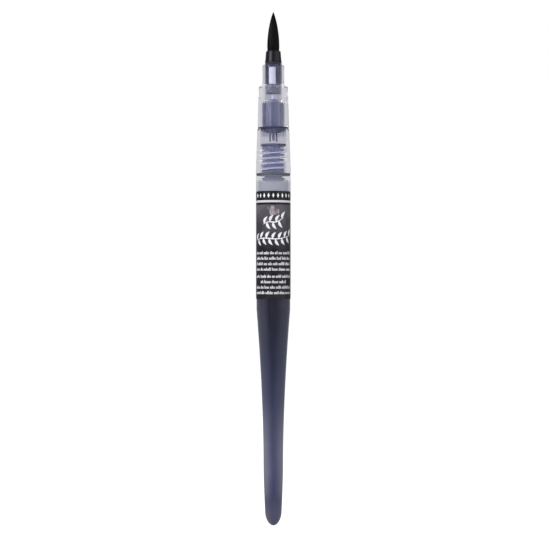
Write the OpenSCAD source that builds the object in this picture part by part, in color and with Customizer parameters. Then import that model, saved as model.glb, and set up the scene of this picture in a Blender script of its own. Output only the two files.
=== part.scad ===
// Squeeze-barrel brush pen, standing on its rounded rear end with the bristles up.
// Z is the pen's axis, and z = 0 is the lowest point of the barrel.

/* [Barrel] */
// Height of the barrel's shoulder, where the front section seats
shoulder_z = 129.4; // [125:0.1:135]
// Radius of the barrel between the label and the shoulder
barrel_r = 6.45; // [6.4:0.01:6.6]
// Radius of the shallow panel that the label is stuck to
panel_r = 6.28; // [6.2:0.01:6.34]
// Length of the label panel
panel_len = 40; // [36:0.5:42]
// Plain band between the label panel and the shoulder
top_band = 5.8; // [5:0.1:7]
// Radius of the handle where it is slimmest, before it rounds off
waist_r = 3.64; // [3.4:0.01:3.9]
// Height at which the taper runs out into the slim handle
waist_z = 24; // [20:0.5:26]
// Radius of the rounded end where it meets the handle
dome_r = 3.1; // [2.8:0.05:3.3]
// Height of the rounded end
dome_h = 5.4; // [3.5:0.1:6]
// Thickness of the barrel's wall
wall = 0.9; // [0.8:0.05:1]

/* [Neck thread] */
// Root radius of the neck
neck_r = 4; // [3.95:0.01:4.05]
// Height of the neck above the shoulder
neck_h = 10.9; // [10.8:0.1:11.2]
// Radius of the hole through the neck
neck_bore_r = 3.3; // [3.2:0.05:3.4]
// Axial distance from one turn of the thread to the next
pitch = 1.9; // [1.8:0.05:2]
// Radial depth of the thread on the neck
thread_depth = 0.5; // [0.4:0.05:0.55]
// Turns of thread on the neck
neck_turns = 4.5; // [3.5:0.25:4.5]
// Turns of thread inside the front section
section_turns = 3; // [2:0.25:3]

/* [Front section] */
// Thickness of the gasket on the shoulder
gasket_h = 0.7; // [0.5:0.05:0.8]
// Length of the clear grip that screws onto the neck
grip_h = 16.4; // [16:0.1:17]
// Radius of the grip's front end
grip_front_r = 5.9; // [5.8:0.05:6]
// Radius of the hole through the grip
grip_bore_r = 4.75; // [4.7:0.01:4.8]
// Thickness of the feed holder's flange, which shows as the seam
flange_h = 0.6; // [0.4:0.05:0.8]

/* [Nose] */
// Length of the nose from its seam to its front rim
nose_h = 23.1; // [22.5:0.1:23.5]
// Radius of the cylinder that a cap grips
cap_seat_r = 5.38; // [5.35:0.01:5.45]
// Length of the cylinder that a cap grips
cap_seat_len = 3.2; // [3:0.1:3.4]
// Radius of the slim front tube
tube_r = 4.03; // [3.9:0.01:4.1]
// Length of the slim front tube
tube_len = 7.2; // [6.8:0.1:7.4]

/* [Bristles] */
// Length of the collar that shows in front of the nose
collar_h = 4.1; // [4:0.1:4.5]
// Radius of the collar's mouth
collar_r = 2.7; // [2.68:0.01:2.8]
// Radius of the tuft where it leaves the collar
tuft_r = 2.2; // [2.1:0.01:2.22]
// Free length of the bristles
tuft_len = 14.7; // [14:0.1:16]

/* [Hidden] */
$fn = 96;

slack = 0.01;          // gap between faces that are glued or pressed together
fit = 0.05;            // radial gap between a part and the hole it slides into
over = 1;              // how far a cutting shape runs past what it cuts
draft = 0.04;          // taper that lets a moulded face leave its mould
edge = 0.15;           // bevel on the rims of the clear parts
soft_edge = 0.3;       // bevel on the rims of the squeezable barrel
film = 0.1;            // thickness of the label
label_margin = 0.2;    // bare panel at each end of the label
ink_gap = 0.04;        // keeps the ink solid off the barrel's wall

panel_top = shoulder_z - top_band;
panel_foot = panel_top - panel_len;
handle_top_r = panel_r - 0.05;
taper_top = panel_foot - 3.6;
taper_power = 1.7;     // 1 would be a straight cone; more gives the handle its hollow sweep
taper_steps = 20;
handle_steps = 8;
dome_steps = 10;
ink_level = 112;
shoulder_t = 1.5;
inner_shoulder = shoulder_z - shoulder_t;

neck_top = shoulder_z + neck_h;
plug_foot = shoulder_z - 2.2;
plug_floor = 0.8;
plug_bore_r = 2.3;
wide_bore_r = 4.2;     // the shoulder's mouth is wider than the neck's hole, and seats the stopper's rim
wide_bore_top = shoulder_z - 0.9;
orifice_r = 0.6;
filter_h = 6;
seal_h = 0.6;

grip_foot = shoulder_z + gasket_h;
grip_top = grip_foot + grip_h;
nose_foot = grip_top + flange_h;
nose_top = nose_foot + nose_h;
tube_foot = nose_top - tube_len;
tube_rim = 0.4;        // rounding of the tube's front rim
seat_top = tube_foot - 1.3;
seat_foot = seat_top - cap_seat_len;
nose_foot_r = 5.78;
nose_step_r = 5.6;
stop_r = cap_seat_r + 0.11;
stop_foot = seat_foot - 2.3;
stop_step = 0.1;

thread_foot = shoulder_z + 1;
flank = tan(30);       // the thread's flanks lean 30 degrees
crest_w = 0.44;
inner_crest_w = 0.8;
inner_crest_r = neck_r + 0.2;
sunk = 0.15;           // how far a thread's foot is buried in its wall
segments = 32;         // steps in one turn of a thread
lead_in = 8;           // steps over which a thread rises from its wall
blunt_end = 0.35;      // share of its depth that a thread starts with

cup_r = 4.1;
cup_wall = 0.5;
cup_top = nose_foot + 8.8;
holder_tube_r = 3.15;
holder_bore_r = 2.7;
holder_tube_foot = cup_top + 1.1;
holder_top = nose_top + 0.9;
skirt_foot = grip_top - 2.7;
stem_r = 0.9;
blade_w = 2.3;
feed_turn = -8;        // the feed sits a little askew behind the front of the label

collar_foot = holder_top + 0.1;
collar_top = collar_foot + collar_h;
collar_skirt_foot = collar_foot - 1.8;
collar_bore_r = tuft_r + 0.1;
mouth_h = 1;
root_r = tuft_r + 0.23;
root_foot = collar_skirt_foot + 0.2;
root_h = 0.9;
root_top = root_foot + root_h;
ball_z = collar_top - 0.1;    // centre of the rounded foot that the free bristles turn on
belly = 0.1;           // how far the tuft swells past the collar
belly_share = 0.12;    // share of the tuft's free length at which it is fullest
tip_z = collar_top + tuft_len;

// Outer radius of the barrel below the label, at height z.
function handle_r(z) =
    z >= taper_top ? handle_top_r
    : z >= waist_z
        ? waist_r + (handle_top_r - waist_r) * pow((z - waist_z) / (taper_top - waist_z), taper_power)
    : z >= dome_h ? dome_r + (waist_r - dome_r) * sin(90 * (z - dome_h) / (waist_z - dome_h))
    : dome_r * sqrt(1 - pow((dome_h - z) / dome_h, 2));

// Points [radius, z] of the handle from its lowest point up to the label panel, moved inwards by inset.
function handle_outline(inset) = concat(
    [for (i = [0 : dome_steps])
        let (a = 90 * i / dome_steps)
        [max(0, (dome_r - inset) * sin(a)), dome_h - (dome_h - inset) * cos(a)]],
    [for (i = [1 : handle_steps])
        let (z = dome_h + (waist_z - dome_h) * i / handle_steps)
        [handle_r(z) - inset, z]],
    [for (i = [1 : taper_steps])
        let (z = waist_z + (taper_top - waist_z) * i / taper_steps)
        [handle_r(z) - inset, z]]
);

// One turn after another of a ridge with leaning flanks. side is 1 for a ridge that stands out from a neck
// and -1 for one that stands in from a bore. The first turn's middle is at height foot on the +X side.
module thread_ridge(root_r, crest_r, crest, turns, foot, side) {
    steps = floor(turns * segments);
    rings = [for (i = [0 : steps])
        let (
            rise = min(1, blunt_end + min(i, steps - i) / lead_in),
            r1 = root_r - side * sunk,
            r2 = root_r + (crest_r - root_r) * rise,
            half_root = crest / 2 + abs(crest_r - r1) * flank,
            half_crest = crest / 2 + abs(crest_r - r2) * flank,
            a = 360 * i / segments,
            z = foot + pitch * i / segments
        )
        [for (p = [[r1, -half_root], [r2, -half_crest], [r2, half_crest], [r1, half_root]])
            [p[0] * cos(a), p[0] * sin(a), z + p[1]]]];
    points = [for (ring = rings) each ring];
    sides = [for (i = [0 : steps - 1]) for (k = [0 : 3])
        let (a = 4 * i + k, b = 4 * i + (k + 1) % 4)
        each [[a, a + 4, b], [b, a + 4, b + 4]]];
    last = 4 * steps;
    ends = [[0, 1, 2], [0, 2, 3], [last, last + 2, last + 1], [last, last + 3, last + 2]];
    faces = [for (f = concat(sides, ends)) side > 0 ? [f[0], f[2], f[1]] : f];
    polyhedron(points = points, faces = faces);
}

// A ring of revolution between two radii and two heights.
module ring(outer_r, inner_r, z0, z1) {
    translate([0, 0, z0])
        difference() {
            cylinder(r = outer_r, h = z1 - z0);
            translate([0, 0, -over])
                cylinder(r = inner_r, h = z1 - z0 + 2 * over);
        }
}

// Squeezable reservoir: rounded handle, label panel, shoulder and threaded neck in one moulding.
module barrel() {
    inner = handle_outline(wall);
    color("lightsteelblue")
        union() {
            rotate_extrude()
                polygon(concat(
                    handle_outline(0),
                    [
                        [handle_top_r, panel_foot - soft_edge],
                        [panel_r - draft, panel_foot],
                        [panel_r, panel_top],
                        [barrel_r - draft, panel_top + label_margin],
                        [barrel_r, shoulder_z - soft_edge],
                        [barrel_r - soft_edge, shoulder_z],
                        [neck_r, shoulder_z],
                        [neck_r, neck_top],
                        [neck_bore_r, neck_top],
                        [neck_bore_r, wide_bore_top],
                        [wide_bore_r, wide_bore_top],
                        [wide_bore_r, inner_shoulder],
                        [barrel_r - wall, inner_shoulder - soft_edge],
                        [handle_top_r - wall, panel_foot]
                    ],
                    [for (i = [len(inner) - 1 : -1 : 0]) inner[i]]
                ));
            thread_ridge(neck_r, neck_r + thread_depth, crest_w, neck_turns, thread_foot, 1);
        }
}

// Printed film wrapped once round the panel.
module label() {
    color("dimgray")
        ring(panel_r + slack + film, panel_r + slack, panel_foot + label_margin, panel_top - label_margin);
}

// Ink that fills the barrel up to its level with the pen upright.
module ink() {
    inset = wall + ink_gap;
    color("midnightblue")
        rotate_extrude()
            polygon(concat(
                handle_outline(inset),
                [
                    [handle_top_r - inset, ink_level],
                    [0, ink_level]
                ]
            ));
}

// Stopper pressed into the neck. Its rounded foot has the hole that meters the ink.
module neck_plug() {
    body_r = neck_bore_r - slack;
    rim_r = wide_bore_r - slack;
    round_w = 1.3;
    round_h = 1.2;
    rounded_foot = [for (a = [0 : 30 : 90])
        [rim_r - round_w + round_w * sin(a), plug_foot + round_h * (1 - cos(a))]];
    color("mediumpurple")
        rotate_extrude()
            polygon(concat(
                rounded_foot,
                [
                    [rim_r, wide_bore_top - slack],
                    [body_r, wide_bore_top - slack],
                    [body_r, neck_top],
                    [plug_bore_r, neck_top],
                    [plug_bore_r, plug_foot + plug_floor],
                    [orifice_r, plug_foot + plug_floor],
                    [orifice_r, plug_foot]
                ]
            ));
}

// Porous cylinder at the bottom of the stopper, which slows the ink down.
module flow_filter() {
    color("slategray")
        translate([0, 0, plug_foot + plug_floor + slack])
            cylinder(r = plug_bore_r - slack, h = filter_h);
}

// Soft washer between the barrel's shoulder and the grip's rear rim.
module gasket() {
    color("dimgray")
        ring(barrel_r - edge, neck_r + thread_depth + 2 * fit, shoulder_z, grip_foot);
}

// Washer inside the grip that closes on the neck's rim.
module neck_seal() {
    color("midnightblue")
        ring(grip_bore_r - slack, neck_bore_r + 2 * fit, neck_top + slack, neck_top + slack + seal_h);
}

// Clear grip with the inner thread.
module grip() {
    inner_thread_foot = thread_foot + 1.5 * pitch;
    color("gainsboro")
        union() {
            rotate_extrude()
                polygon([
                    [grip_bore_r, grip_foot],
                    [barrel_r - edge, grip_foot],
                    [barrel_r, grip_foot + 2 * edge],
                    [grip_front_r, grip_top - edge],
                    [grip_front_r - edge, grip_top],
                    [grip_bore_r, grip_top]
                ]);
            thread_ridge(grip_bore_r, inner_crest_r, inner_crest_w, section_turns, inner_thread_foot, -1);
        }
}

// Clear nose: taper, stop for the cap, cap seat, rounded shoulder and slim front tube.
module nose() {
    shoulder_round = 0.9;
    shoulder_arc = [for (a = [0 : 15 : 90])
        [cap_seat_r - shoulder_round * (1 - cos(a)), seat_top + shoulder_round * sin(a)]];
    rim_arc = [for (a = [0 : 30 : 90])
        [tube_r - tube_rim * (1 - cos(a)), nose_top - tube_rim * (1 - sin(a))]];
    color("gainsboro")
        rotate_extrude()
            polygon(concat(
                [
                    [cup_r + fit, nose_foot],
                    [nose_foot_r - edge, nose_foot],
                    [nose_foot_r, nose_foot + edge],
                    [nose_step_r, stop_foot - edge],
                    [stop_r + draft, stop_foot],
                    [stop_r, seat_foot - stop_step],
                    [cap_seat_r, seat_foot]
                ],
                shoulder_arc,
                [[tube_r, tube_foot]],
                rim_arc,
                [
                    [holder_tube_r + fit, nose_top],
                    [holder_tube_r + fit, holder_tube_foot + fit],
                    [cup_r + fit, cup_top + fit]
                ]
            ));
}

// Inner sleeve that joins grip and nose, and carries the feed and the collar.
module feed_holder() {
    skirt_r = grip_bore_r - slack;
    skirt_wall = 0.5;
    flange_r = grip_front_r - 0.25;
    color("thistle")
        rotate_extrude()
            polygon([
                [skirt_r - skirt_wall, skirt_foot],
                [skirt_r, skirt_foot],
                [skirt_r, grip_top],
                [flange_r, grip_top],
                [flange_r, nose_foot],
                [cup_r, nose_foot],
                [cup_r, cup_top],
                [holder_tube_r, holder_tube_foot],
                [holder_tube_r, holder_top],
                [holder_bore_r, holder_top],
                [holder_bore_r, holder_tube_foot],
                [cup_r - cup_wall, cup_top - edge],
                [cup_r - cup_wall, grip_top]
            ]);
}

// Ink feed: four fins in the cup that end in tines, a stem, and a blade that splits the front tube in two.
module feed() {
    fin_foot = grip_top - 1.4;
    fin_top = cup_top + 0.8;
    fin_r = cup_r - cup_wall - slack;
    fin_foot_r = 2.4;
    fin_top_r = 1.2;
    fin_t = 0.6;
    fin_slope = 1.6;
    tine_foot = neck_top + seal_h + 1.0;
    tine_step = 0.5;
    tine_r = 0.3;
    tine_ring_r = 1.25;
    blade_foot = tube_foot - 0.4;
    blade_h = collar_skirt_foot - slack - blade_foot;
    color("lavender")
        rotate([0, 0, feed_turn]) {
            translate([0, 0, fin_foot])
                cylinder(r = stem_r, h = blade_foot + over - fin_foot);
            for (i = [0 : 3])
                rotate([0, 0, 90 * i]) {
                    translate([tine_ring_r, 0, tine_foot + tine_step * (i % 2)])
                        cylinder(r = tine_r, h = fin_foot + over - tine_foot);
                    rotate([90, 0, 0])
                        translate([0, 0, -fin_t / 2])
                            linear_extrude(height = fin_t)
                                polygon([
                                    [0, fin_foot],
                                    [fin_foot_r, fin_foot],
                                    [fin_r, fin_foot + fin_slope],
                                    [fin_r, fin_top - fin_slope],
                                    [fin_top_r, fin_top],
                                    [0, fin_top]
                                ]);
                }
            intersection() {
                translate([-blade_w / 2, -holder_bore_r, blade_foot])
                    cube([blade_w, 2 * holder_bore_r, blade_h]);
                translate([0, 0, blade_foot - over])
                    cylinder(r = holder_bore_r - slack, h = blade_h + 2 * over);
            }
        }
}

// Sponge ring round the feed's stem, which evens out the flow.
module flow_sponge() {
    sponge_top = tube_foot - 1.2;
    sponge_h = 2.2;
    color("lightslategray")
        ring(holder_bore_r - slack, stem_r + slack, sponge_top - sponge_h, sponge_top);
}

// Ink standing in the two channels beside the feed's blade.
module channel_ink() {
    foot = tube_foot + 0.1;
    h = collar_skirt_foot - slack - foot;
    color("darkslateblue")
        for (side = [0, 180])
            rotate([0, 0, feed_turn + side])
                intersection() {
                    translate([0, 0, foot])
                        cylinder(r = holder_bore_r - slack, h = h);
                    translate([blade_w / 2 + slack, -holder_bore_r, foot - over])
                        cube([holder_bore_r, 2 * holder_bore_r, h + 2 * over]);
                }
}

// Black collar that grips the tuft: a tapered front, and a skirt pressed into the feed holder.
module collar() {
    lip = 0.6;
    color("black")
        rotate_extrude()
            polygon([
                [root_r + slack, collar_skirt_foot],
                [holder_bore_r - slack, collar_skirt_foot],
                [holder_bore_r - slack, collar_foot],
                [holder_tube_r, collar_foot],
                [holder_tube_r - edge, collar_foot + lip],
                [collar_r + draft, collar_top - soft_edge],
                [collar_r - draft, collar_top],
                [collar_r - 2 * fit, collar_top],
                [collar_bore_r, collar_top - mouth_h],
                [collar_bore_r, root_top + slack],
                [root_r + slack, root_top + slack]
            ]);
}

// Disc that the rear ends of the filaments are melted into.
module tuft_root() {
    color("dimgray")
        translate([0, 0, root_foot])
            cylinder(r = root_r, h = root_h);
}

// Filaments inside the collar, which can't move.
module tuft_base() {
    color("black")
        translate([0, 0, root_top])
            cylinder(r = tuft_r, h = ball_z - tuft_r - 2 * fit - root_top);
}

// Radius of the tuft at a share t of its free length.
function tuft_radius(t) = t < belly_share
    ? tuft_r + belly * sin(90 * t / belly_share)
    : (tuft_r + belly) * pow(1 - pow((t - belly_share) / (1 - belly_share), 1.9), 0.86);

// Free length of the bristles, on the rounded foot that they bend about.
module bristles() {
    steps = 22;
    free = tip_z - ball_z;
    color("black")
        rotate_extrude()
            polygon(concat(
                [for (a = [0 : 11.25 : 90]) [tuft_r * sin(a), ball_z - tuft_r * cos(a)]],
                [for (i = [1 : steps - 1]) [tuft_radius(i / steps), ball_z + free * i / steps]],
                [[0, tip_z]]
            ));
}

barrel();
label();
ink();
neck_plug();
flow_filter();
gasket();
neck_seal();
grip();
nose();
feed_holder();
feed();
flow_sponge();
channel_ink();
collar();
tuft_root();
tuft_base();
bristles();
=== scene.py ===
"""Brush pen: finishes, label print, tuft filaments and studio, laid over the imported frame."""

import logging
import math
import random
from collections.abc import Callable, Sequence
from dataclasses import dataclass, field
from enum import Enum

import bmesh
import bpy
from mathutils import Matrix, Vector


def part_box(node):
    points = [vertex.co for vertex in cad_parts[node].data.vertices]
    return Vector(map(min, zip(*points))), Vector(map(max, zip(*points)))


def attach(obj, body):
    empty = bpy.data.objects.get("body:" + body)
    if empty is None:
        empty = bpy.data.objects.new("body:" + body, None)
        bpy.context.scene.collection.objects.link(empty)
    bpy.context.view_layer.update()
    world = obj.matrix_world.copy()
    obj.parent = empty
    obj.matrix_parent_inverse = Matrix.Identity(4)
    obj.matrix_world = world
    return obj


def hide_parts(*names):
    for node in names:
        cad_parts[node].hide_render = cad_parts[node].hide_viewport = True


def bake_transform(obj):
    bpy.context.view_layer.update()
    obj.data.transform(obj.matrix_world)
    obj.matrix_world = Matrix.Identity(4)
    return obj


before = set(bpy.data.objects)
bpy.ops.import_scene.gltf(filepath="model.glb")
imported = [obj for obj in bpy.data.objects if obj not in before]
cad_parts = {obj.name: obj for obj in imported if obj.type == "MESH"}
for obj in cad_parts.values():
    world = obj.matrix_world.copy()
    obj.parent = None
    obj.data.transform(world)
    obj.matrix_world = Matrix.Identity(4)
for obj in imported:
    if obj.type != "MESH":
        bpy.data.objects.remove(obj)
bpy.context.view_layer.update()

LOG = logging.getLogger("brush_pen")

MM = 0.001
GOLDEN_TURN = 0.6180339887

Colour = tuple[float, float, float]


def srgb(red: int, green: int, blue: int) -> Colour:
    """Turns a display colour into the linear colour that shaders use.

    Args:
        red: Red, from 0 to 255.
        green: Green, from 0 to 255.
        blue: Blue, from 0 to 255.

    Returns:
        The linear colour.
    """

    def channel(value: int) -> float:
        """Returns one linear channel."""
        share = value / 255
        return share / 12.92 if share <= 0.04045 else ((share + 0.055) / 1.055) ** 2.4

    return channel(red), channel(green), channel(blue)


class Smooth(Enum):
    """How the faces of a piece shade."""

    FLAT = False
    ROUND = True


# ---------------------------------------------------------------------------------------------
# Shader node groups
# ---------------------------------------------------------------------------------------------


@dataclass(frozen=True)
class EffectGroup:
    """A named shader node group that is built once and placed in many materials."""

    name: str
    inputs: tuple[tuple[str, str, float], ...]
    outputs: tuple[tuple[str, str], ...]
    fill: Callable[[bpy.types.NodeTree, bpy.types.Node, bpy.types.Node], None]

    def get(self) -> bpy.types.NodeTree:
        """Returns the group, building it on first use."""
        found = bpy.data.node_groups.get(self.name)
        if found:
            return found
        tree = bpy.data.node_groups.new(self.name, "ShaderNodeTree")
        for name, kind, default in self.inputs:
            socket = tree.interface.new_socket(name, in_out="INPUT", socket_type=kind)
            socket.default_value = default
        for name, kind in self.outputs:
            tree.interface.new_socket(name, in_out="OUTPUT", socket_type=kind)
        self.fill(tree, tree.nodes.new("NodeGroupInput"), tree.nodes.new("NodeGroupOutput"))
        return tree


def add_math(
    tree: bpy.types.NodeTree, operation: str, first: object, second: object
) -> bpy.types.NodeSocket:
    """Adds a maths node.

    Args:
        tree: Tree to add it to.
        operation: Name of the operation.
        first: A socket or a number.
        second: A socket or a number.

    Returns:
        The node's result.
    """
    node = tree.nodes.new("ShaderNodeMath")
    node.operation = operation
    for slot, value in enumerate((first, second)):
        if isinstance(value, bpy.types.NodeSocket):
            tree.links.new(value, node.inputs[slot])
        else:
            node.inputs[slot].default_value = value
    return node.outputs[0]


def fill_grain(tree: bpy.types.NodeTree, inlet: bpy.types.Node, outlet: bpy.types.Node) -> None:
    """Fills the grain group: fine moulding grain over slow mottling.

    Args:
        tree: The group's tree.
        inlet: Its input node, with Fine and Slow in cycles per metre.
        outlet: Its output node, with Height and Mottle.
    """
    place = tree.nodes.new("ShaderNodeTexCoord")
    for source, target, detail in (("Fine", "Height", 4.0), ("Slow", "Mottle", 3.0)):
        noise = tree.nodes.new("ShaderNodeTexNoise")
        noise.inputs["Detail"].default_value = detail
        tree.links.new(place.outputs["Object"], noise.inputs["Vector"])
        tree.links.new(inlet.outputs[source], noise.inputs["Scale"])
        tree.links.new(noise.outputs["Fac"], outlet.inputs[target])


def fill_streaks(tree: bpy.types.NodeTree, inlet: bpy.types.Node, outlet: bpy.types.Node) -> None:
    """Fills the streak group: soft streaks that run along the pen.

    Args:
        tree: The group's tree.
        inlet: Its input node, with Across and Along in cycles per metre.
        outlet: Its output node, with Mask.
    """
    place = tree.nodes.new("ShaderNodeTexCoord")
    split = tree.nodes.new("ShaderNodeSeparateXYZ")
    join = tree.nodes.new("ShaderNodeCombineXYZ")
    noise = tree.nodes.new("ShaderNodeTexNoise")
    noise.inputs["Scale"].default_value = 1.0
    noise.inputs["Detail"].default_value = 3.0
    tree.links.new(place.outputs["Object"], split.inputs[0])
    for axis, speed in (("X", "Across"), ("Y", "Across"), ("Z", "Along")):
        stretched = add_math(tree, "MULTIPLY", split.outputs[axis], inlet.outputs[speed])
        tree.links.new(stretched, join.inputs[axis])
    tree.links.new(join.outputs[0], noise.inputs["Vector"])
    tree.links.new(noise.outputs["Fac"], outlet.inputs["Mask"])


def fill_height(tree: bpy.types.NodeTree, inlet: bpy.types.Node, outlet: bpy.types.Node) -> None:
    """Fills the height group: 0 at a low height and 1 at a high one.

    Args:
        tree: The group's tree.
        inlet: Its input node, with Low and High in metres.
        outlet: Its output node, with Share.
    """
    place = tree.nodes.new("ShaderNodeTexCoord")
    split = tree.nodes.new("ShaderNodeSeparateXYZ")
    tree.links.new(place.outputs["Object"], split.inputs[0])
    above = add_math(tree, "SUBTRACT", split.outputs["Z"], inlet.outputs["Low"])
    span = add_math(tree, "SUBTRACT", inlet.outputs["High"], inlet.outputs["Low"])
    share = add_math(tree, "DIVIDE", above, span)
    share.node.use_clamp = True
    tree.links.new(share, outlet.inputs["Share"])


def fill_ink_and_shade_bands(tree: bpy.types.NodeTree, inlet: bpy.types.Node, outlet: bpy.types.Node) -> None:
    """Fills the band group: broad soft bands down the pen, evenly spaced round it and a little uneven, which
    place the sleeve's ink channels and the barrel's painted shade and painted edge glow.

    Args:
        tree: The group's tree.
        inlet: Its input node, with Count round the pen and Turn in radians.
        outlet: Its output node, with Mask.
    """
    place = tree.nodes.new("ShaderNodeTexCoord")
    split = tree.nodes.new("ShaderNodeSeparateXYZ")
    wander = tree.nodes.new("ShaderNodeTexNoise")
    wander.inputs["Scale"].default_value = 70.0
    tree.links.new(place.outputs["Object"], split.inputs[0])
    tree.links.new(place.outputs["Object"], wander.inputs["Vector"])
    frontward = add_math(tree, "MULTIPLY", split.outputs["Y"], -1.0)
    angle = add_math(tree, "ARCTAN2", split.outputs["X"], frontward)
    turned = add_math(tree, "SUBTRACT", angle, inlet.outputs["Turn"])
    uneven = add_math(tree, "MULTIPLY", wander.outputs["Fac"], 0.9)
    phase = add_math(tree, "ADD", add_math(tree, "MULTIPLY", turned, inlet.outputs["Count"]), uneven)
    wave = add_math(tree, "COSINE", phase, 0.0)
    tree.links.new(add_math(tree, "ADD", add_math(tree, "MULTIPLY", wave, 0.5), 0.5), outlet.inputs["Mask"])


def fill_reach(tree: bpy.types.NodeTree, inlet: bpy.types.Node, outlet: bpy.types.Node) -> None:
    """Fills the reach group: 0 close to the pen's axis and 1 far from it.

    Args:
        tree: The group's tree.
        inlet: Its input node, with Near and Far in metres.
        outlet: Its output node, with Share.
    """
    place = tree.nodes.new("ShaderNodeTexCoord")
    split = tree.nodes.new("ShaderNodeSeparateXYZ")
    tree.links.new(place.outputs["Object"], split.inputs[0])
    squares = [add_math(tree, "MULTIPLY", split.outputs[axis], split.outputs[axis]) for axis in ("X", "Y")]
    away = add_math(tree, "SQRT", add_math(tree, "ADD", *squares), 0.0)
    past = add_math(tree, "SUBTRACT", away, inlet.outputs["Near"])
    span = add_math(tree, "SUBTRACT", inlet.outputs["Far"], inlet.outputs["Near"])
    share = add_math(tree, "DIVIDE", past, span)
    share.node.use_clamp = True
    tree.links.new(share, outlet.inputs["Share"])


GRAIN = EffectGroup(
    "moulding_grain",
    (("Fine", "NodeSocketFloat", 9000.0), ("Slow", "NodeSocketFloat", 120.0)),
    (("Height", "NodeSocketFloat"), ("Mottle", "NodeSocketFloat")),
    fill_grain,
)
STREAKS = EffectGroup(
    "ink_streaks",
    (("Across", "NodeSocketFloat", 500.0), ("Along", "NodeSocketFloat", 25.0)),
    (("Mask", "NodeSocketFloat"),),
    fill_streaks,
)
# Angle bands: ink channels in the sleeve, painted shade and painted edge glow on the barrel.
INK_AND_SHADE_BANDS = EffectGroup(
    "ink_and_shade_bands",
    (("Count", "NodeSocketFloat", 3.0), ("Turn", "NodeSocketFloat", 0.0)),
    (("Mask", "NodeSocketFloat"),),
    fill_ink_and_shade_bands,
)
HEIGHT = EffectGroup(
    "height_share",
    (("Low", "NodeSocketFloat", 0.0), ("High", "NodeSocketFloat", 0.1)),
    (("Share", "NodeSocketFloat"),),
    fill_height,
)
REACH = EffectGroup(
    "reach_share",
    (("Near", "NodeSocketFloat", 0.0), ("Far", "NodeSocketFloat", 0.01)),
    (("Share", "NodeSocketFloat"),),
    fill_reach,
)


# ---------------------------------------------------------------------------------------------
# Finishes
# ---------------------------------------------------------------------------------------------


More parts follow.
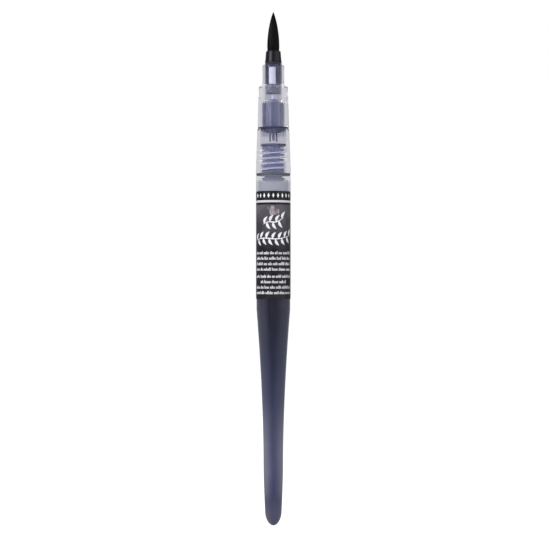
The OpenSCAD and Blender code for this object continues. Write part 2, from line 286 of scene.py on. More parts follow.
@dataclass
class Shader:
    """A material under construction, with its Principled shader and short ways to add nodes."""

    name: str
    material: bpy.types.Material = field(init=False)
    tree: bpy.types.NodeTree = field(init=False)
    body: bpy.types.Node = field(init=False)

    def __post_init__(self) -> None:
        """Makes the empty material."""
        self.material = bpy.data.materials.new(self.name)
        self.material.use_nodes = True
        self.tree = self.material.node_tree
        self.body = self.tree.nodes["Principled BSDF"]

    def plain(self, **values: float) -> None:
        """Sets plain values on the shader's own sockets.

        Args:
            **values: Socket names, with underscores for spaces, and their values.
        """
        for name, value in values.items():
            self.body.inputs[name.replace("_", " ")].default_value = value

    def group(self, effect: EffectGroup, **values: float) -> bpy.types.Node:
        """Places a shared effect.

        Args:
            effect: The effect.
            **values: Values of its inputs.

        Returns:
            The group node.
        """
        node = self.tree.nodes.new("ShaderNodeGroup")
        node.node_tree = effect.get()
        for name, value in values.items():
            node.inputs[name].default_value = value
        return node

    def ramp(
        self, source: bpy.types.NodeSocket, stops: Sequence[tuple[float, Colour]]
    ) -> bpy.types.NodeSocket:
        """Turns a mask into a colour.

        Args:
            source: The mask.
            stops: Positions from 0 to 1 and their colours.

        Returns:
            The colour.
        """
        node = self.tree.nodes.new("ShaderNodeValToRGB")
        points = node.color_ramp.elements
        while len(points) < len(stops):
            points.new(0.5)
        for point, (position, colour) in zip(points, stops, strict=True):
            point.position = position
            point.color = (*colour, 1.0)
        self.tree.links.new(source, node.inputs[0])
        return node.outputs[0]

    def by_height(self, stops: Sequence[tuple[float, Colour | float]]) -> bpy.types.NodeSocket:
        """Colours or weighs the surface by its height.

        Args:
            stops: Heights in metres from the lowest up, each with a colour or with a number from 0 to 1.

        Returns:
            The colour or the number.
        """
        low, high = stops[0][0], stops[-1][0]
        share = self.group(HEIGHT, Low=low, High=high).outputs["Share"]
        colours = [(value,) * 3 if isinstance(value, float) else value for _, value in stops]
        places = [(height - low) / (high - low) for height, _ in stops]
        return self.ramp(share, list(zip(places, colours, strict=True)))

    def mix(
        self, share: bpy.types.NodeSocket | float, first: object, second: object
    ) -> bpy.types.NodeSocket:
        """Mixes two colours.

        Args:
            share: How much of the second shows.
            first: A colour or a socket.
            second: A colour or a socket.

        Returns:
            The mixed colour.
        """
        node = self.tree.nodes.new("ShaderNodeMix")
        node.data_type = "RGBA"
        for slot, value in ((0, share), (6, first), (7, second)):
            if isinstance(value, bpy.types.NodeSocket):
                self.tree.links.new(value, node.inputs[slot])
            elif slot == 0:
                node.inputs[slot].default_value = value
            else:
                node.inputs[slot].default_value = (*value, 1.0)
        return node.outputs[2]

    def spread(self, source: bpy.types.NodeSocket, low: float, high: float) -> bpy.types.NodeSocket:
        """Maps a mask from 0.3..0.7, where noise lies, onto low..high."""
        node = self.tree.nodes.new("ShaderNodeMapRange")
        for slot, value in enumerate((0.3, 0.7, low, high), start=1):
            node.inputs[slot].default_value = value
        self.tree.links.new(source, node.inputs[0])
        return node.outputs[0]

    def bump(self, height: bpy.types.NodeSocket, depth: float, strength: float) -> None:
        """Raises the surface by a height mask.

        Args:
            height: The mask.
            depth: Depth of the relief in metres.
            strength: Share of the relief that shows.
        """
        node = self.tree.nodes.new("ShaderNodeBump")
        node.inputs["Distance"].default_value = depth
        node.inputs["Strength"].default_value = strength
        self.tree.links.new(height, node.inputs["Height"])
        self.tree.links.new(node.outputs[0], self.body.inputs["Normal"])

    def feed(self, source: bpy.types.NodeSocket, socket: str) -> None:
        """Links a socket to one of the shader's own."""
        self.tree.links.new(source, self.body.inputs[socket])

    def let_lamps_through(self, tint: Colour) -> None:
        """Lets light from the lamps pass the surface unbent, tinted, so that it reaches what is inside.

        Args:
            tint: Colour of the light that has passed.
        """
        path = self.tree.nodes.new("ShaderNodeLightPath")
        open_way = self.tree.nodes.new("ShaderNodeBsdfTransparent")
        open_way.inputs[0].default_value = (*tint, 1.0)
        mix = self.tree.nodes.new("ShaderNodeMixShader")
        self.tree.links.new(path.outputs["Is Shadow Ray"], mix.inputs[0])
        self.tree.links.new(self.body.outputs[0], mix.inputs[1])
        self.tree.links.new(open_way.outputs[0], mix.inputs[2])
        self.tree.links.new(mix.outputs[0], self.tree.nodes["Material Output"].inputs["Surface"])


@dataclass(frozen=True)
class Moulded:
    """Opaque moulded plastic or rubber with grain and slow mottling."""

    name: str
    dark: Colour
    light: Colour
    rough: tuple[float, float] = (0.35, 0.5)
    grain_depth: float = 0.01 * MM
    glare: float = 0.5

    def make(self) -> bpy.types.Material:
        """Returns the material."""
        shader = Shader(self.name)
        grain = shader.group(GRAIN, Fine=7000.0, Slow=300.0)
        colour = shader.ramp(grain.outputs["Mottle"], ((0.35, self.dark), (0.65, self.light)))
        shader.feed(colour, "Base Color")
        shader.feed(shader.spread(grain.outputs["Mottle"], *self.rough), "Roughness")
        shader.plain(Specular_IOR_Level=self.glare)
        shader.bump(grain.outputs["Height"], self.grain_depth, 0.4)
        return shader.material


@dataclass(frozen=True)
class Clear:
    """Clear plastic that shows what it holds and lets the lamps light it."""

    name: str
    rough: float
    ior: float
    glare: float
    tint: Colour = srgb(228, 228, 235)
    lamp_tint: Colour = srgb(236, 236, 242)

    def make(self) -> bpy.types.Material:
        """Returns the material."""
        shader = Shader(self.name)
        grain = shader.group(GRAIN, Fine=2500.0, Slow=160.0)
        dim = tuple(channel * 0.94 for channel in self.tint)
        colour = shader.ramp(grain.outputs["Mottle"], ((0.35, dim), (0.65, self.tint)))
        shader.feed(colour, "Base Color")
        shader.feed(shader.spread(grain.outputs["Mottle"], self.rough, self.rough * 1.5), "Roughness")
        shader.plain(Transmission_Weight=1.0, IOR=self.ior, Specular_IOR_Level=self.glare)
        shader.bump(grain.outputs["Mottle"], 0.01 * MM, 0.03)
        shader.let_lamps_through(self.lamp_tint)
        return shader.material


@dataclass(frozen=True)
class Squeezable:
    """Translucent bottle plastic, milky above the label; below it, three bands round the barrel, one at the
    front, are darker in the middle as painted shade and lighter at the sides as a painted edge glow, with
    painted soft reflections on the sides low down; the neck thread has a painted highlight on its tops and
    painted shade in its roots.
    """

    name: str = "squeeze_bottle"
    # Side colours by height: lighter than the middle as a painted edge glow, and lighter still from about 12
    # to 30 mm up as painted soft reflections.
    side: tuple[tuple[float, Colour], ...] = (
        (0.0, srgb(92, 92, 110)),
        (0.0095, srgb(72, 75, 95)),
        (0.0125, srgb(98, 99, 115)),
        (0.02, srgb(111, 112, 129)),
        (0.03, srgb(109, 111, 129)),
        (0.046, srgb(68, 72, 96)),
        (0.06, srgb(54, 59, 80)),
        (0.083, srgb(44, 40, 56)),
    )
    # Middle colours by height: the ink seen darkest, kept darker than the sides as painted shade.
    middle: tuple[tuple[float, Colour], ...] = (
        (0.0, srgb(80, 79, 102)),
        (0.0095, srgb(58, 61, 88)),
        (0.0125, srgb(56, 56, 86)),
        (0.022, srgb(68, 67, 100)),
        (0.035, srgb(59, 60, 86)),
        (0.046, srgb(42, 46, 71)),
        (0.06, srgb(21, 25, 48)),
        (0.083, srgb(6, 5, 22)),
    )
    streak: Colour = srgb(112, 113, 138)
    milky: Colour = srgb(162, 164, 182)
    milk_foot: float = 3 * MM
    # Thread colours: the tops painted light as a painted highlight, the roots painted dark as painted shade.
    crest_painted_highlight: Colour = srgb(178, 180, 197)
    root: Colour = srgb(108, 111, 133)
    neck: tuple[float, float] = (0.0041, 0.00445)
    # Turns the painted shade bands a little to the right of the front, so the left of the front is painted
    # lighter.
    painted_shade_turn: float = 0.2

    def make(self) -> bpy.types.Material:
        """Returns the material."""
        shader = Shader(self.name)
        label_foot, label_top = (corner[2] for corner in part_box("label"))
        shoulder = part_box("gasket")[0][2]
        # Three bands round the barrel: middle colour at their centres and side colour between them, painted
        # shade and painted edge glow.
        painted_shade_bands = shader.group(INK_AND_SHADE_BANDS, Count=3.0, Turn=self.painted_shade_turn)
        streaks = shader.group(STREAKS, Across=320.0, Along=14.0)
        grain = shader.group(GRAIN, Fine=5000.0, Slow=90.0)
        above = shoulder + 0.2 * MM
        side = shader.by_height(self.side)
        middle = shader.by_height(self.middle)
        handle_painted_light = shader.mix(painted_shade_bands.outputs["Mask"], side, middle)
        faint = shader.spread(streaks.outputs["Mask"], 0.0, 0.12)
        streaked = shader.mix(faint, handle_painted_light, self.streak)
        milk = shader.by_height(((label_foot, 0.0), (label_top - self.milk_foot, 1.0)))
        body = shader.mix(milk, streaked, self.milky)
        # Share by distance from the axis: painted shade in the thread's roots, painted highlight on its
        # tops.
        painted_crest_share = shader.group(REACH, Near=self.neck[0], Far=self.neck[1]).outputs[0]
        ribs = shader.mix(painted_crest_share, self.root, self.crest_painted_highlight)
        on_neck = shader.by_height(((shoulder, 0.0), (above, 1.0)))
        shader.feed(shader.mix(on_neck, body, ribs), "Base Color")
        shader.feed(shader.spread(grain.outputs["Mottle"], 0.34, 0.46), "Roughness")
        veil = (
            (label_top - self.milk_foot, 1.0),
            (label_top, 0.5),
            (shoulder - 2.4 * MM, 0.46),
            (shoulder - 1.8 * MM, 0.3),
            (shoulder, 0.3),
            (above, 0.72),
        )
        shader.feed(shader.by_height(veil), "Alpha")
        shader.plain(Specular_IOR_Level=0.14, Sheen_Weight=0.5, Sheen_Roughness=0.4)
        shader.bump(grain.outputs["Height"], 0.006 * MM, 0.25)
        return shader.material


@dataclass(frozen=True)
class HeldInk:
    """Ink standing in the barrel, paler where the column is slim."""

    name: str = "held_ink"
    deep: Colour = srgb(14, 14, 24)
    thin: Colour = srgb(44, 42, 86)

    def make(self) -> bpy.types.Material:
        """Returns the material."""
        shader = Shader(self.name)
        streaks = shader.group(STREAKS, Across=420.0, Along=20.0)
        column = shader.by_height(
            (
                (0.01, self.thin),
                (0.035, self.thin),
                (0.075, self.deep),
                (0.09, self.deep),
            )
        )
        wisps = shader.spread(streaks.outputs["Mask"], 0.0, 0.4)
        shader.feed(shader.mix(wisps, column, self.deep), "Base Color")
        shader.plain(Roughness=0.12, Coat_Weight=0.4)
        return shader.material


@dataclass(frozen=True)
class SleevePlastic:
    """Natural plastic of the inner sleeve: see-through at both ends, stained in cup and flange."""

    name: str = "inner_sleeve"
    seam: Colour = srgb(50, 52, 74)
    soaked: Colour = srgb(60, 58, 76)
    stains: tuple[Colour, Colour, Colour] = (srgb(78, 80, 102), srgb(96, 99, 120), srgb(126, 128, 148))
    cup_len: float = 10.0 * MM
    blade_turn: float = 0.085

    def make(self) -> bpy.types.Material:
        """Returns the material."""
        shader = Shader(self.name)
        blur = 0.1 * MM
        foot, top = (corner[2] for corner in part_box("feed_holder"))
        flange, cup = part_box("grip")[1][2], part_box("nose")[0][2]
        cone = cup + self.cup_len
        streaks = shader.group(STREAKS, Across=1100.0, Along=22.0)
        stain = shader.ramp(streaks.outputs["Mask"], tuple(zip((0.36, 0.5, 0.64), self.stains, strict=True)))
        seam = shader.by_height(
            (
                (flange - blur, 0.0),
                (flange, 1.0),
                (cup, 1.0),
                (cup + blur, 0.0),
                (top - 1.9 * MM, 0.0),
                (top - 1.7 * MM, 1.0),
                (top - 0.5 * MM, 1.0),
                (top, 0.3),
            )
        )
        in_tube = shader.by_height(
            (
                (cone + 5.0 * MM, 0.0),
                (cone + 5.6 * MM, 1.0),
                (top - 2.0 * MM, 1.0),
                (top - 1.9 * MM, 0.0),
            )
        )
        channels = shader.group(INK_AND_SHADE_BANDS, Count=2.0, Turn=self.blade_turn)
        beside = shader.ramp(channels.outputs["Mask"], ((0.5, (1.0,) * 3), (0.8, (0.0,) * 3)))
        soak = shader.mix(in_tube, (0.0,) * 3, beside)
        wet = shader.mix(soak, stain, self.soaked)
        shader.feed(shader.mix(seam, wet, self.seam), "Base Color")
        veil = (
            (foot, 0.08),
            (flange - 1.0 * MM, 0.18),
            (flange, 0.95),
            (cup, 0.95),
            (cup + blur, 0.74),
            (cone, 0.7),
            (cone + 0.3 * MM, 0.1),
            (cone + 2.4 * MM, 0.1),
            (cone + 2.6 * MM, 0.2),
            (cone + 5.0 * MM, 0.16),
            (cone + 5.6 * MM, 0.08),
            (top - 1.9 * MM, 0.08),
            (top - 1.7 * MM, 0.72),
            (top - 0.5 * MM, 0.72),
            (top - 0.4 * MM, 0.4),
            (top, 0.4),
        )
        shader.feed(shader.mix(soak, shader.by_height(veil), (0.55,) * 3), "Alpha")
        shader.plain(Roughness=0.4, Specular_IOR_Level=0.08)
        return shader.material


@dataclass(frozen=True)
class FeedPlastic:
    """Plastic of the feed, stained by ink below its blade and nearly clean on it."""

    name: str = "feed_plastic"
    wet: Colour = srgb(92, 94, 116)
    stained: Colour = srgb(58, 60, 84)
    clean: Colour = srgb(212, 210, 222)
    blot: Colour = srgb(112, 112, 132)

    def make(self) -> bpy.types.Material:
        """Returns the material."""
        shader = Shader(self.name)
        grain = shader.group(GRAIN, Fine=7000.0, Slow=500.0)
        prongs_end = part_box("feed_holder")[0][2]
        sponge_foot, sponge_top = (corner[2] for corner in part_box("flow_sponge"))
        height = shader.by_height(
            (
                (prongs_end, self.wet),
                (prongs_end + 2.4 * MM, self.wet),
                (prongs_end + 4.0 * MM, self.stained),
                (sponge_foot - 2.4 * MM, self.stained),
                (sponge_foot - 2.1 * MM, self.clean),
                (sponge_foot - 0.2 * MM, self.clean),
                (sponge_foot, self.stained),
                (sponge_top - 0.8 * MM, self.stained),
                (sponge_top - 0.3 * MM, self.clean),
            )
        )
        blots = shader.spread(grain.outputs["Mottle"], 0.0, 0.16)
        shader.feed(shader.mix(blots, height, self.blot), "Base Color")
        shader.feed(shader.spread(grain.outputs["Mottle"], 0.3, 0.42), "Roughness")
        shader.bump(grain.outputs["Height"], 0.006 * MM, 0.3)
        return shader.material


@dataclass(frozen=True)
class WashPrint:
    """Label film: a clouded ink-wash gradient below a black band and a pale rule."""

    name: str = "label_wash"
    band_tall: float = 3.4 * MM
    rule: float = 0.8 * MM
    dark_top: float = 18 * MM
    cloud_foot: float = 25 * MM
    black: Colour = srgb(20, 19, 23)
    pale: Colour = srgb(204, 201, 207)
    smoke: Colour = srgb(24, 22, 30)

    def make(self) -> bpy.types.Material:
        """Returns the material."""
        shader = Shader(self.name)
        edge = 0.04 * MM
        foot, top = (corner[2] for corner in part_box("label"))
        band = top - self.band_tall
        grain = shader.group(GRAIN, Fine=2200.0, Slow=420.0)
        clouds = shader.group(GRAIN, Fine=900.0, Slow=190.0)
        wash = shader.by_height(
            (
                (foot, srgb(14, 13, 20)),
                (foot + self.dark_top, srgb(21, 20, 27)),
                (foot + self.cloud_foot, srgb(54, 51, 58)),
                (band - 2 * self.rule, srgb(96, 92, 99)),
            )
        )
        mist = shader.by_height(
            (
                (foot + self.dark_top, srgb(66, 63, 72)),
                (foot + self.cloud_foot, srgb(118, 114, 122)),
            )
        )
        fine = shader.mix(shader.spread(grain.outputs["Mottle"], 0.0, 0.3), wash, mist)
        cloud = shader.mix(shader.spread(clouds.outputs["Mottle"], 0.0, 0.6), fine, self.smoke)
        stripe = shader.by_height(((band - 2 * self.rule, 0.0), (band - 2 * self.rule + edge, 1.0)))
        rules = shader.by_height(
            (
                (band - 2 * self.rule, self.black),
                (band - self.rule, self.black),
                (band - self.rule + edge, self.pale),
                (band, self.pale),
                (band + edge, self.black),
                (top, self.black),
            )
        )
        shader.feed(shader.mix(stripe, cloud, rules), "Base Color")
        shader.feed(shader.spread(grain.outputs["Mottle"], 0.3, 0.42), "Roughness")
        shader.plain(Specular_IOR_Level=0.2)
        shader.bump(grain.outputs["Height"], 0.004 * MM, 0.3)
        return shader.material


@dataclass(frozen=True)
class BrushedInk:
    """Thin warm ink dragged on with a dry brush, so that the wash shows between its hairs."""

    name: str = "print_warm"
    bare: Colour = srgb(78, 73, 80)
    ink: Colour = srgb(170, 158, 162)

    def make(self) -> bpy.types.Material:
        """Returns the material."""
        shader = Shader(self.name)
        grain = shader.group(GRAIN, Fine=3000.0, Slow=900.0)
        hairs = shader.group(STREAKS, Across=1500.0, Along=420.0)
        drag = shader.ramp(hairs.outputs["Mask"], ((0.36, self.bare), (0.56, self.ink)))
        worn = shader.spread(grain.outputs["Mottle"], 0.0, 0.45)
        shader.feed(shader.mix(worn, drag, self.bare), "Base Color")
        shader.feed(shader.spread(grain.outputs["Mottle"], 0.4, 0.5), "Roughness")
        shader.plain(Specular_IOR_Level=0.2)
        return shader.material


@dataclass(frozen=True)
class Fibre:
    """Black nylon filament, a little lighter from one to the next."""

    name: str = "tuft_fibre"
    dark: Colour = srgb(4, 4, 7)
    light: Colour = srgb(14, 15, 21)

    def make(self) -> bpy.types.Material:
        """Returns the material."""
        shader = Shader(self.name)
        streaks = shader.group(STREAKS, Across=4200.0, Along=60.0)
        colour = shader.ramp(streaks.outputs["Mask"], ((0.38, self.dark), (0.68, self.light)))
        shader.feed(colour, "Base Color")
        shader.feed(shader.spread(streaks.outputs["Mask"], 0.3, 0.5), "Roughness")
        shader.plain(Specular_IOR_Level=0.08, Anisotropic=0.4)
        return shader.material


# ---------------------------------------------------------------------------------------------
# Mesh helpers
# ---------------------------------------------------------------------------------------------


def dress(node: str, finish: bpy.types.Material) -> None:
    """Gives a node of the frame its finish.

    Args:
        node: Name of the node.
        finish: The material.
    """
    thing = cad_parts[node]
    if thing.material_slots:
        for slot in thing.material_slots:
            slot.material = finish
    else:
        thing.data.materials.append(finish)
    LOG.info("dressed %s in %s", node, finish.name)


def finish_mesh(
    name: str, mesh: bmesh.types.BMesh, finish: bpy.types.Material, smooth: Smooth
) -> bpy.types.Object:
    """Turns an edited mesh into an object.

    Args:
        name: Name of the piece.
        mesh: The mesh, which is freed.
        finish: Its material.
        smooth: Whether its faces shade smoothly.

    Returns:
        The new object.
    """
    bmesh.ops.recalc_face_normals(mesh, faces=mesh.faces)
    data = bpy.data.meshes.new(name)
    mesh.to_mesh(data)
    mesh.free()
    data.materials.append(finish)
    data.polygons.foreach_set("use_smooth", [smooth.value] * len(data.polygons))
    thing = bpy.data.objects.new(name, data)
    bpy.context.scene.collection.objects.link(thing)
    LOG.info("built %s with %d faces", name, len(data.polygons))
    return thing


def skin_rings(mesh: bmesh.types.BMesh, rings: Sequence[Sequence[Vector]], close_ends: bool) -> None:
    """Joins closed rings of points into a tube.

    Args:
        mesh: Mesh to add to.
        rings: Rings of equal length.
        close_ends: Whether the first and last ring get a face.
    """
    rows = [[mesh.verts.new(point) for point in ring] for ring in rings]
    count = len(rows[0])
    for lower, upper in zip(rows, rows[1:], strict=False):
        for i in range(count):
            j = (i + 1) % count
            mesh.faces.new((lower[i], lower[j], upper[j], upper[i]))
    if close_ends:
        mesh.faces.new(list(reversed(rows[0])))
        mesh.faces.new(rows[-1])


# ---------------------------------------------------------------------------------------------
# Sub-assemblies
# ---------------------------------------------------------------------------------------------


# Height and half width in millimetres of each row of small print.
ROWS = (
    (100.6, 8.0),
    (98.6, 8.0),
    (96.6, 8.0),
    (94.6, 8.0),
    (92.0, 8.0),
    (90.0, 5.2),
    (88.0, 8.0),
    (86.0, 8.0),
)


@dataclass(frozen=True)
class Sprig:
    """One leafy twig of the label, in millimetres across the front and up the pen."""

    start: tuple[float, float]
    end: tuple[float, float]
    leaves: int
    long: float


@dataclass
class LabelPrint:
    """Printed film with its generic marks, each a thin raised patch that follows the film."""

    radius: float = 6.39 * MM
    lift: float = 0.012 * MM
    column: float = 0.3 * MM
    white: Colour = srgb(236, 235, 238)
    dull: Colour = srgb(214, 213, 217)
    tick: float = 0.23
    tick_step: float = 0.36
    word_gap: float = 0.34
    margin: float = 0.3
    sprigs: tuple[Sprig, Sprig] = (
        Sprig(start=(-3.9, 111.2), end=(4.1, 113.2), leaves=7, long=2.9),
        Sprig(start=(-7.8, 105.4), end=(7.6, 106.8), leaves=13, long=2.7),
    )
    twig_width: float = 0.16
    leaf_width: float = 0.46
    leaf_lean: float = 64.0
    seed: int = 7

    def point(self, across: float, height: float, raised: float) -> Vector:
        """Places a point of the flat artwork on the film.

        Args:
            across: Distance to the right of the front, in metres round the film.
            height: Height in metres.
            raised: Distance out from the film in metres.

        Returns:
            The point in the frame.
        """
        turn = across / self.radius
        reach = self.radius + raised
        return Vector((reach * math.sin(turn), -reach * math.cos(turn), height))

    def patch(self, mesh: bmesh.types.BMesh, outline: Sequence[tuple[float, float]]) -> None:
        """Adds a strip given by matching left and right edges, in columns narrow enough to follow the film.

        Args:
            mesh: Mesh to add to.
            outline: Points in pairs, left then right, from the bottom up.
        """
        pairs = list(zip(outline[::2], outline[1::2], strict=True))
        widest = max(abs(right[0] - left[0]) for left, right in pairs)
        columns = max(1, math.ceil(widest / self.column))
        rings = []
        for left, right in pairs:
            row = [Vector(left).lerp(Vector(right), i / columns) for i in range(columns + 1)]
            under = [self.point(place.x, place.y, 0.001 * MM) for place in row]
            over = [self.point(place.x, place.y, self.lift) for place in reversed(row)]
            rings.append(under + over)
        skin_rings(mesh, rings, close_ends=True)

    def dash(self, mesh: bmesh.types.BMesh, left: float, right: float, foot: float, tall: float) -> None:
        """Adds one upright-sided dash."""
        self.patch(mesh, ((left, foot), (right, foot), (left, foot + tall), (right, foot + tall)))

    def rows(self, finish: bpy.types.Material) -> bpy.types.Object:
        """Builds the small print as rows of uneven ticks in word-like groups that spell nothing.

        Args:
            finish: Its material.

        Returns:
            The print.
        """
        mesh = bmesh.new()
        dice = random.Random(self.seed)
        for height, half in ROWS:
            left = -half
            while left < half - self.margin:
                for _ in range(dice.randint(3, 8)):
                    tall = dice.choice((0.74, 0.74, 0.74, 1.1))
                    if left < half - self.margin:
                        right = (left + self.tick) * MM
                        self.dash(mesh, left * MM, right, (height - 0.4) * MM, tall * MM)
                    left += self.tick_step
                left += self.word_gap
        return finish_mesh("label_rows", mesh, finish, smooth=Smooth.FLAT)

    def stroke(self, mesh: bmesh.types.BMesh, path: Callable[[float], Vector], width: float) -> None:
        """Adds one swelling brush stroke.

        Args:
            mesh: Mesh to add to.
            path: Place in millimetres at each share of the stroke.
            width: Its greatest half width in millimetres.
        """
        steps = max(12, math.ceil((path(1.0) - path(0.0)).length / 0.35))
        outline: list[tuple[float, float]] = []
        for i in range(steps + 1):
            share = i / steps
            run = (path(min(1.0, share + 0.01)) - path(max(0.0, share - 0.01))).normalized()
            side = Vector((-run.y, run.x)) * (0.06 + width * math.sin(math.pi * share) ** 1.2)
            outline += [tuple((path(share) + side) * MM), tuple((path(share) - side) * MM)]
        self.patch(mesh, outline)

    def sprig(self, mesh: bmesh.types.BMesh, plan: Sprig) -> None:
        """Adds a waving twig with leaves to either side.

        Args:
            mesh: Mesh to add to.
            plan: Where the twig runs and the leaves it has.
        """
        start, end = Vector(plan.start), Vector(plan.end)

        def twig(share: float) -> Vector:
            """Returns a point on the twig."""
            return start.lerp(end, share) + Vector((0, 0.4 * math.sin(share * math.tau * 1.2)))

        self.stroke(mesh, twig, self.twig_width)
        for number in range(plan.leaves):
            side = 1.0 if number % 2 == 0 else -1.0
            root = twig((number + 0.35) / plan.leaves)
            lean = math.radians(self.leaf_lean) * side
            away = Vector((math.cos(lean), math.sin(lean))) * plan.long
            bow = Vector((0.16 * plan.long, 0.0))

            def vein(share: float, root: Vector = root, away: Vector = away, bow: Vector = bow) -> Vector:
                """Returns a point on one leaf's curved middle."""
                return root + away * share - bow * math.sin(share * math.pi)

            self.stroke(mesh, vein, self.leaf_width)

    def flourish(self, finish: bpy.types.Material) -> bpy.types.Object:
        """Builds two brushed sprigs of leaves, a pattern that means nothing.

        Args:
            finish: Its material.

        Returns:
            The sprigs.
        """
        mesh = bmesh.new()
        for plan in self.sprigs:
            self.sprig(mesh, plan)
        return finish_mesh("label_leaves", mesh, finish, smooth=Smooth.FLAT)

    def band_marks(self, finish: bpy.types.Material) -> bpy.types.Object:
        """Builds the row of plain diamonds on the black band.

        Args:
            finish: Its material.

        Returns:
            The marks.
        """
        mesh = bmesh.new()
        step, low, tall, half = 1.75, 120.9, 1.7, 0.42
        for i in range(-4, 5):
            middle = i * step
            self.patch(
                mesh,
                [
                    ((middle + sign * half * reach) * MM, (low + tall * share) * MM)
                    for share, reach in ((0.0, 0.08), (0.5, 1.0), (1.0, 0.08))
                    for sign in (-1, 1)
                ],
            )
        return finish_mesh("label_band_marks", mesh, finish, smooth=Smooth.FLAT)

    def swash(self, finish: bpy.types.Material) -> bpy.types.Object:
        """Builds the warm brushed patch near the top of the wash.

        Args:
            finish: Its material.

        Returns:
            The patch.
        """
        mesh = bmesh.new()
        outline: list[tuple[float, float]] = []
        steps, low, tall, widest, sway = 16, 114.6, 3.4, 2.1, 0.5
        for i in range(steps + 1):
            share = i / steps
            half = widest * math.sin(math.pi * (0.12 + 0.76 * share)) ** 0.6
            drift = sway * math.sin(share * 5.0)
            height = low + tall * share
            outline += [((drift - half) * MM, height * MM), ((drift + half) * MM, height * MM)]
        self.patch(mesh, outline)
        return finish_mesh("label_swash", mesh, finish, smooth=Smooth.FLAT)

    def build(self) -> None:
        """Dresses the film and adds its print."""
        dress("label", WashPrint().make())
        white = Moulded("print_white", self.dull, self.white, (0.4, 0.5)).make()
        pieces = (
            self.swash(BrushedInk().make()),
            self.rows(white),
            self.flourish(white),
            self.band_marks(white),
        )
        for piece in pieces:
            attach(piece, "barrel_body")


@dataclass
class Reservoir:
    """The squeeze barrel and all that stays with it."""

    label: LabelPrint = field(default_factory=LabelPrint)

    def build(self) -> None:
        """Dresses the barrel, its ink and what is pressed into its neck."""
        dress("barrel", Squeezable().make())
        dress("ink", HeldInk().make())
        dress("neck_plug", Moulded("plug_plastic", srgb(62, 65, 94), srgb(84, 87, 120), (0.3, 0.42)).make())
        sintered = Moulded("sintered_filter", srgb(38, 38, 54), srgb(66, 66, 88), (0.7, 0.9)).make()
        dress("flow_filter", sintered)
        dress("gasket", Moulded("gasket_rubber", srgb(62, 62, 70), srgb(84, 84, 90), (0.55, 0.7)).make())
        self.label.build()


@dataclass
class FrontSection:
    """Clear grip and nose with the feed inside them, and the black collar."""

    def build(self) -> None:
        """Dresses every piece of the front section."""
        dress("grip", Clear("clear_grip", rough=0.13, ior=1.1, glare=0.08).make())
        dress("nose", Clear("clear_nose", rough=0.14, ior=1.24, glare=0.1).make())
        dress("neck_seal", Moulded("seal_rubber", srgb(54, 56, 70), srgb(74, 76, 92), (0.5, 0.65)).make())
        dress("feed_holder", SleevePlastic().make())
        dress("feed", FeedPlastic().make())
        dress("flow_sponge", Moulded("sponge", srgb(84, 86, 98), srgb(112, 112, 124), (0.8, 0.95)).make())
        inked = Moulded("channel_ink", srgb(20, 21, 32), srgb(32, 32, 44), (0.5, 0.6), glare=0.05).make()
        dress("channel_ink", inked)
        black = Moulded("collar_black", srgb(10, 10, 14), srgb(19, 20, 28), (0.26, 0.36), glare=0.2).make()
        dress("collar", black)
        dress("tuft_root", black)


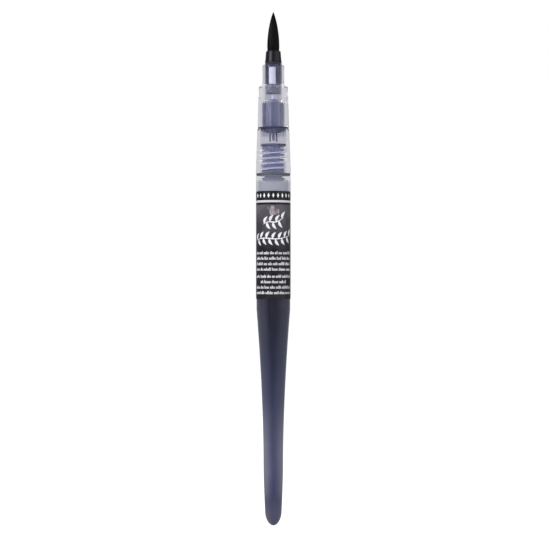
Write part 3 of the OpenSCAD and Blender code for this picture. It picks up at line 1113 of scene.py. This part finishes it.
@dataclass
class Tuft:
    """Pointed tuft: a ribbed core with separate filaments lying along it."""

    base_radius: float = 2.2 * MM
    belly: float = 0.1 * MM
    filaments: int = 620
    filament_radius: float = 0.05 * MM
    steps: int = 11
    ribs: int = 30
    belly_share: float = 0.12
    sunk: float = 0.9 * MM
    bend_below: float = 0.4 * MM
    bend_above: float = 6.0 * MM
    seed: int = 21
    root: float = field(init=False)
    foot: float = field(init=False)
    tip: float = field(init=False)

    def __post_init__(self) -> None:
        """Reads the tuft's heights from the frame."""
        self.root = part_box("tuft_base")[0][2]
        self.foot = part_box("collar")[1][2]
        self.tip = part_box("bristles")[1][2]

    def reach(self, height: float) -> float:
        """Returns the tuft's radius at a height in metres."""
        share = max(0.0, (height - self.foot) / (self.tip - self.foot))
        swell = self.base_radius + self.belly * math.sin(math.pi / 2 * min(1.0, share / self.belly_share))
        if share < self.belly_share:
            return swell
        taper = (share - self.belly_share) / (1 - self.belly_share)
        return swell * max(0.0, 1 - taper**1.9) ** 0.86

    def core(self, finish: bpy.types.Material) -> bpy.types.Object:
        """Builds the ribbed core that closes the gaps between filaments.

        Args:
            finish: Its material.

        Returns:
            The core.
        """
        mesh = bmesh.new()
        around, levels = 120, 40
        rings = []
        for i in range(levels):
            height = self.root + (self.tip - 0.35 * MM - self.root) * i / (levels - 1)
            ring = []
            for k in range(around):
                turn = math.tau * k / around
                rib = 0.95 + 0.02 * math.sin(turn * self.ribs)
                reach = max(self.reach(height) * rib - 0.02 * MM, 0.01 * MM)
                ring.append(Vector((reach * math.cos(turn), reach * math.sin(turn), height)))
            rings.append(ring)
        skin_rings(mesh, rings, close_ends=True)
        return finish_mesh("tuft_core", mesh, finish, smooth=Smooth.ROUND)

    def strands(self, finish: bpy.types.Material) -> bpy.types.Object:
        """Builds the filaments, each a tapered tube that leans in to the point.

        Args:
            finish: Their material.

        Returns:
            The filaments as one piece.
        """
        mesh = bmesh.new()
        dice = random.Random(self.seed)
        for number in range(self.filaments):
            turn = math.tau * (number * GOLDEN_TURN % 1.0)
            depth = dice.uniform(0.93, 0.985)
            ends = 1.0 if number % 5 == 0 else dice.uniform(0.72, 0.99)
            twist = dice.uniform(-0.09, 0.09)
            rings = []
            for i in range(self.steps + 1):
                share = i / self.steps * ends
                height = self.foot - self.sunk + (self.tip - self.foot + self.sunk) * share
                angle = turn + twist * share
                thick = self.filament_radius * (1 - 0.8 * share**3)
                out = max(self.reach(height) * depth - thick, 0.0)
                side = Vector((-math.sin(angle), math.cos(angle), 0))
                away = Vector((math.cos(angle), math.sin(angle), 0))
                middle = away * out + Vector((0, 0, min(height, self.tip)))
                rings.append(
                    [
                        middle + away * thick,
                        middle + side * thick * 0.87 - away * thick * 0.5,
                        middle - side * thick * 0.87 - away * thick * 0.5,
                    ]
                )
            skin_rings(mesh, rings, close_ends=True)
        return finish_mesh("tuft_filaments", mesh, finish, smooth=Smooth.ROUND)

    def build(self) -> None:
        """Builds the tuft in place of its solids."""
        fibre = Fibre().make()
        pieces = (self.core(fibre), self.strands(fibre))
        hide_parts("bristles", "tuft_base")
        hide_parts("bristles", "tuft_base")
        for piece in pieces:
            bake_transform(piece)


@dataclass(frozen=True)
class SoftLamp:
    """A square lamp: its name, place and side in metres, and power in watts."""

    name: str
    place: tuple[float, float, float]
    size: float
    power: float


@dataclass
class Studio:
    """Pale floor, soft lights and a level camera."""

    view_width: float = 203.5 * MM
    lens: float = 100.0
    sensor: float = 36.0
    eye_height: float = 92.6 * MM
    eye_side: float = 0.62 * MM
    floor_size: float = 6.0
    floor_glow: float = 0.8
    sky_through: float = 0.68
    lamps: tuple[SoftLamp, SoftLamp] = (
        SoftLamp("key_left", place=(-0.5, -0.5, 0.45), size=0.4, power=5.0),
        SoftLamp("fill_right", place=(0.55, -0.35, 0.25), size=0.9, power=3.7),
    )

    def floor(self) -> None:
        """Lays the pale floor."""
        mesh = bmesh.new()
        bmesh.ops.create_grid(mesh, x_segments=8, y_segments=8, size=self.floor_size)
        shader = Shader("studio_floor")
        shader.plain(Roughness=0.9)
        shader.body.inputs["Base Color"].default_value = (0.6, 0.6, 0.6, 1.0)
        shader.body.inputs["Emission Color"].default_value = (1.0, 1.0, 1.0, 1.0)
        path = shader.tree.nodes.new("ShaderNodeLightPath")
        seen, behind = path.outputs["Is Camera Ray"], path.outputs["Is Transmission Ray"]
        glow = add_math(shader.tree, "MAXIMUM", seen, behind)
        shader.feed(add_math(shader.tree, "MULTIPLY", glow, self.floor_glow), "Emission Strength")
        ground = finish_mesh("studio_floor", mesh, shader.material, smooth=Smooth.FLAT)

    def lamp(self, plan: SoftLamp) -> None:
        """Adds a soft square lamp that points at the pen's middle.

        Args:
            plan: The lamp's name, place, size and power.
        """
        light = bpy.data.lights.new(plan.name, "AREA")
        light.size = plan.size
        light.energy = plan.power
        lamp = bpy.data.objects.new(plan.name, light)
        place = Vector(plan.place)
        lamp.location = place
        lamp.rotation_euler = (Vector((0, 0, self.eye_height)) - place).to_track_quat("-Z", "Y").to_euler()
        bpy.context.scene.collection.objects.link(lamp)

    def world(self) -> None:
        """Makes the surroundings white to the eye and light grey to everything else."""
        world = bpy.data.worlds.new("studio_world")
        bpy.context.scene.world = world
        world.use_nodes = True
        tree = world.node_tree
        sky = tree.nodes["Background"]
        path = tree.nodes.new("ShaderNodeLightPath")
        mix = tree.nodes.new("ShaderNodeMix")
        mix.data_type = "RGBA"
        mix.inputs[6].default_value = (0.34, 0.345, 0.36, 1.0)
        mix.inputs[7].default_value = (1.0, 1.0, 1.0, 1.0)
        through = add_math(tree, "MULTIPLY", path.outputs["Is Transmission Ray"], self.sky_through)
        tree.links.new(add_math(tree, "MAXIMUM", path.outputs["Is Camera Ray"], through), mix.inputs[0])
        tree.links.new(mix.outputs[2], sky.inputs[0])

    def camera(self) -> None:
        """Sets the level camera in front of the pen."""
        data = bpy.data.cameras.new("studio_camera")
        data.lens = self.lens
        data.sensor_width = self.sensor
        data.clip_end = 50.0
        eye = bpy.data.objects.new("studio_camera", data)
        eye.location = (self.eye_side, -self.view_width * self.lens / self.sensor, self.eye_height)
        eye.rotation_euler = (math.pi / 2, 0, 0)
        bpy.context.scene.collection.objects.link(eye)
        bpy.context.scene.camera = eye

    def build(self) -> None:
        """Sets up the whole studio."""
        self.floor()
        self.world()
        self.camera()
        for plan in self.lamps:
            self.lamp(plan)
        bpy.context.scene.view_settings.view_transform = "Standard"


def main() -> None:
    """Builds and dresses the pen."""
    logging.basicConfig(level=logging.INFO, format="%(name)s: %(message)s")
    Studio().build()
    Reservoir().build()
    FrontSection().build()
    Tuft().build()
    LOG.info("boxes recorded")


if __name__ == "__main__":
    main()
